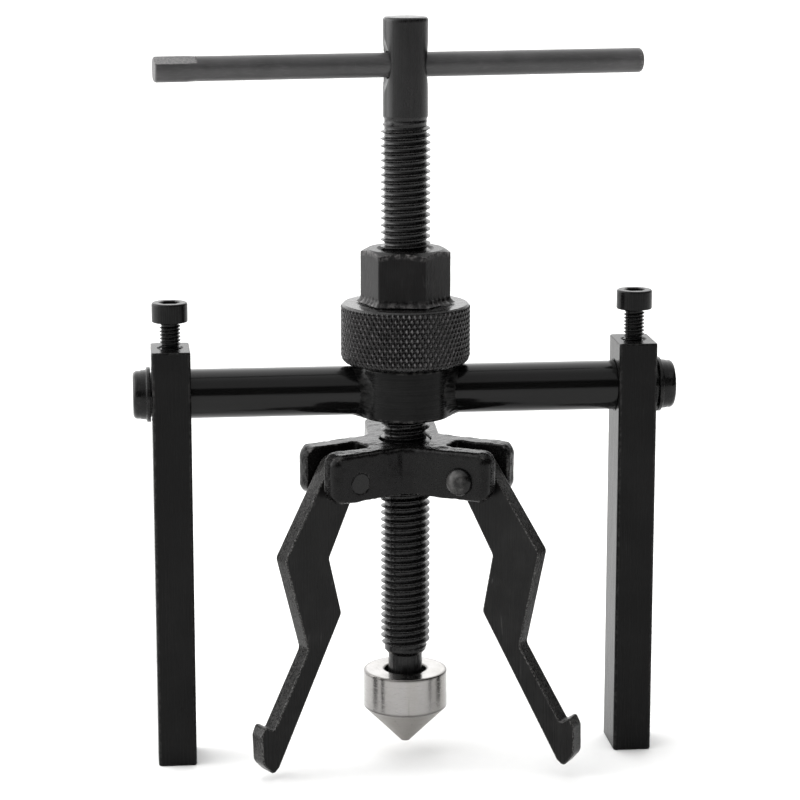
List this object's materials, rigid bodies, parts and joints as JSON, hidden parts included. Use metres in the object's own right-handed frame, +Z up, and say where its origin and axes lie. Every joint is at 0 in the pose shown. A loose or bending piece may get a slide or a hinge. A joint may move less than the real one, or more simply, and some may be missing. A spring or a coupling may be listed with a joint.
{
  "type": "three-jaw inner bearing puller",
  "caption": "Inner bearing puller: T-bar forcing screw with a cone tip spreads hooked jaws on a hub, and a nut on a crossbeam with sliding legs draws them out.",
  "frame": {"origin": "middle of the cone's small flat end, on the forcing screw's axis", "axes": "+Z up along the forcing screw towards its T-bar, +X along the crossbeam, +Y away from the two front jaws"},
  "size_m": [0.1524, 0.0835, 0.2098],
  "materials": {
    "screw_black": "satin black oxide, rolled thread",
    "tbar_black": "satin black oxide",
    "nut_black": "satin black oxide",
    "collar_black": "matte black oxide, diamond knurl",
    "boss_black": "semi-gloss black",
    "bar_black": "gloss black",
    "ring_black": "black spring steel",
    "leg_black": "satin black oxide",
    "cap_screw_black": "black oxide",
    "hub_cast": "blackened casting",
    "jaw_black": "satin black oxide, mottled",
    "pin_black": "hammered black rivet",
    "bright_steel": "bright turned steel",
    "ball_steel": "polished",
    "spring_steel": "dark spring steel"
  },
  "bodies": {
    "crossbeam": {"centre_boss": "boss_black", "left_arm_bar": "bar_black", "right_arm_bar": "bar_black", "left_stop_ring": "ring_black", "right_stop_ring": "ring_black"},
    "left_leg": {"left_leg": "leg_black"},
    "right_leg": {"right_leg": "leg_black"},
    "left_clamp": {"left_clamp_screw": "cap_screw_black"},
    "right_clamp": {"right_clamp_screw": "cap_screw_black"},
    "nut": {"knurled_collar": "collar_black", "hex_nut": "nut_black"},
    "hub": {"jaw_hub": "hub_cast", "rear_pin": "pin_black", "front_left_pin": "pin_black", "front_right_pin": "pin_black"},
    "rear_jaw": {"rear_jaw": "jaw_black"},
    "front_left_jaw": {"front_left_jaw": "jaw_black"},
    "front_right_jaw": {"front_right_jaw": "jaw_black"},
    "cone": {"cone_tip": "bright_steel", "thrust_ball": "ball_steel", "tip_snap_ring": "spring_steel"},
    "screw": {"forcing_screw": "screw_black"},
    "tommy_bar": {"tommy_bar": "tbar_black"}
  },
  "joints": [
    {"name": "nut_turn", "type": "hinge", "parent": "crossbeam", "child": "nut", "pos_m": [0, 0, 0.11075], "axis": [0, 0, 1], "range_deg": [-1080, 3600]},
    {"name": "hub_lift", "type": "slide", "parent": "crossbeam", "child": "hub", "axis": [0, 0, 1], "range_m": [-0.0201, 0.0061]},
    {"name": "cone_travel", "type": "slide", "parent": "hub", "child": "cone", "axis": [0, 0, 1], "range_m": [-0.0151, 0.0451]},
    {"name": "screw_turn", "type": "hinge", "parent": "cone", "child": "screw", "pos_m": [0, 0, 0.19385], "axis": [0, 0, 1], "range_deg": [-2700, 8100]},
    {"name": "tommy_bar_slide", "type": "slide", "parent": "screw", "child": "tommy_bar", "axis": [0.9919, 0.1271, 0], "range_m": [-0.05, 0.05]},
    {"name": "left_leg_slide", "type": "slide", "parent": "crossbeam", "child": "left_leg", "axis": [1, 0, 0], "range_m": [0, 0.029]},
    {"name": "right_leg_slide", "type": "slide", "parent": "crossbeam", "child": "right_leg", "axis": [-1, 0, 0], "range_m": [-0.0008, 0.0285]},
    {"name": "left_clamp_turn", "type": "hinge", "parent": "left_leg", "child": "left_clamp", "pos_m": [-0.0656, 0, 0.12355], "axis": [0, 0, 1], "range_deg": [0, 1440]},
    {"name": "right_clamp_turn", "type": "hinge", "parent": "right_leg", "child": "right_clamp", "pos_m": [0.0648, 0, 0.1249], "axis": [0, 0, 1], "range_deg": [-486, 1440]},
    {"name": "rear_jaw_swing", "type": "hinge", "parent": "hub", "child": "rear_jaw", "pos_m": [0.00094, 0.02148, 0.08065], "axis": [0.999, -0.0436, 0], "range_deg": [-20, 10]},
    {"name": "front_left_jaw_swing", "type": "hinge", "parent": "hub", "child": "front_left_jaw", "pos_m": [-0.01907, -0.00993, 0.08065], "axis": [-0.4617, 0.887, 0], "range_deg": [-17.7, 12.3]},
    {"name": "front_right_jaw_swing", "type": "hinge", "parent": "hub", "child": "front_right_jaw", "pos_m": [0.01813, -0.01155, 0.08065], "axis": [-0.5373, -0.8434, 0], "range_deg": [-21, 9]}
  ],
  "couplings": [
    {"joint": "hub_lift", "follows": "nut_turn", "m_per_rad": -0.00031831},
    {"joint": "cone_travel", "follows": "screw_turn", "m_per_rad": 0.00031831}
  ]
}
